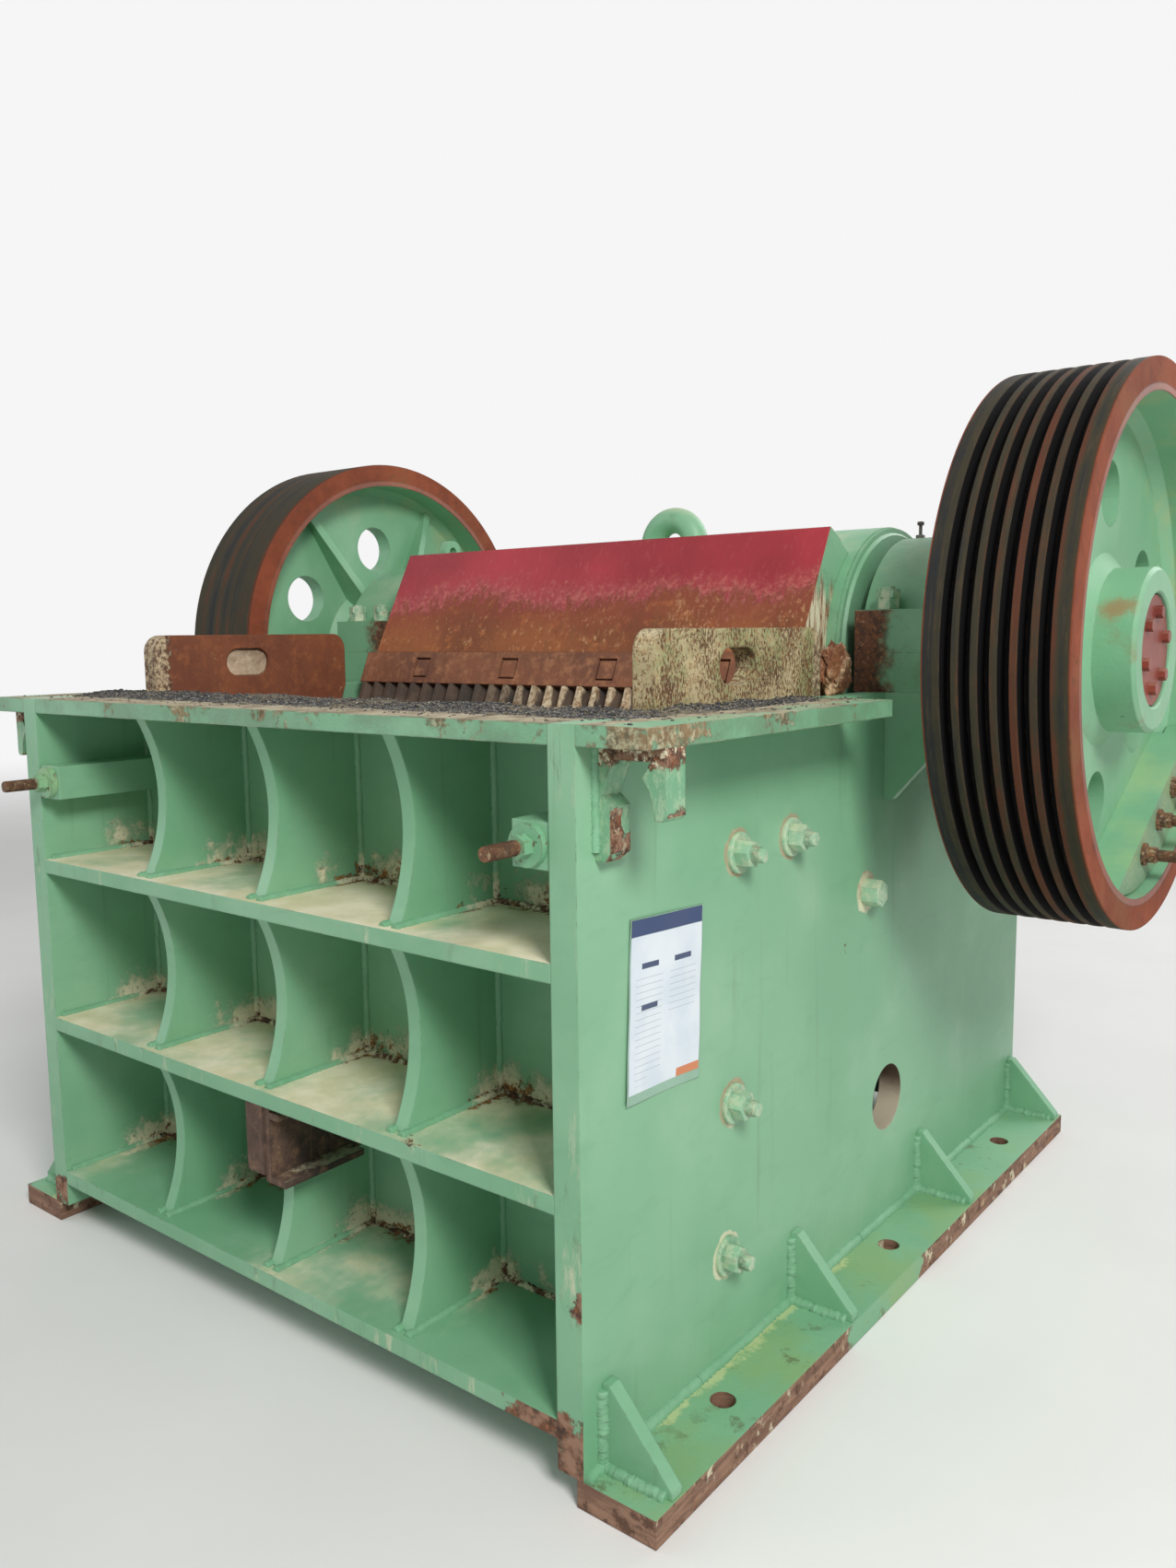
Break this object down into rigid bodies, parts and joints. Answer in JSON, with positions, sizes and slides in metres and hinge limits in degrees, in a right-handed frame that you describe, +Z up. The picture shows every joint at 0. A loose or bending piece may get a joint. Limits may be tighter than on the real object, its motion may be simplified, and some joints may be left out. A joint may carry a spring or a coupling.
{
  "type": "jaw crusher",
  "caption": "Wide-mouth single-toggle jaw crusher: ribbed welded frame on foot plates, toothed jaws, leaning guard plate, grooved drive pulley and flywheel on an eccentric shaft",
  "frame": {"origin": "on the ground, at the centre of the foundation bolt holes", "axes": "+X towards the drive pulley, +Y towards the rear wall, -Y towards the ribbed front, +Z up"},
  "size_m": [2.797, 2.183, 2],
  "materials": {
    "green_paint": "worn green paint over steel",
    "rusty_steel": "brown rust with remains of pale paint",
    "jaw_steel": "worn manganese steel, brown with dust",
    "bare_steel": "dull greasy steel",
    "crimson_paint": "crimson paint scraped to rust",
    "red_oxide": "red-brown oxide primer",
    "wheel_iron": "cast iron with green paint and brown tread"
  },
  "bodies": {
    "frame": {"side_wall_left": "green_paint", "side_wall_right": "green_paint", "foot_plate_left": "green_paint", "foot_plate_right": "green_paint", "foot_gussets": "green_paint", "front_wall": "green_paint", "front_shelves": "green_paint", "front_ribs": "green_paint", "deck_front": "green_paint", "deck_sides": "green_paint", "lifting_hooks": "green_paint", "clamp_bars": "green_paint", "clamp_studs": "rusty_steel", "stub_bracket": "rusty_steel", "rear_wall": "green_paint", "rear_shelves": "green_paint", "rear_ribs": "green_paint", "toggle_seat": "green_paint", "toggle_plate": "bare_steel", "bearing_seats": "green_paint", "bearing_blocks": "green_paint", "bearing_caps": "green_paint", "bearing_rings": "bare_steel", "cap_bolts": "green_paint", "cheek_plate_left": "rusty_steel", "cheek_plate_right": "rusty_steel", "fixed_jaw_plate": "jaw_steel", "return_springs": "bare_steel"},
    "swing_jaw": {"swing_jaw_body": "green_paint", "swing_jaw_plate": "jaw_steel", "jaw_wedge": "rusty_steel", "guard_plate": "crimson_paint", "head_bearings": "bare_steel", "head_covers": "green_paint", "lifting_eyes": "green_paint", "return_rods": "bare_steel"},
    "rotor": {"eccentric_shaft": "bare_steel", "drive_pulley": "wheel_iron", "flywheel": "wheel_iron", "shaft_end_caps": "red_oxide", "counterweight_right": "green_paint", "counterweight_left": "green_paint"}
  },
  "joints": [
    {"name": "rotor_turn", "type": "hinge", "parent": "frame", "child": "rotor", "pos_m": [0, 0.375, 1.39], "axis": [1, 0, 0], "continuous": true},
    {"name": "jaw_swing", "type": "hinge", "parent": "frame", "child": "swing_jaw", "pos_m": [0, 0.375, 1.39], "axis": [-1, 0, 0], "range_deg": [0, 1.2]}
  ]
}
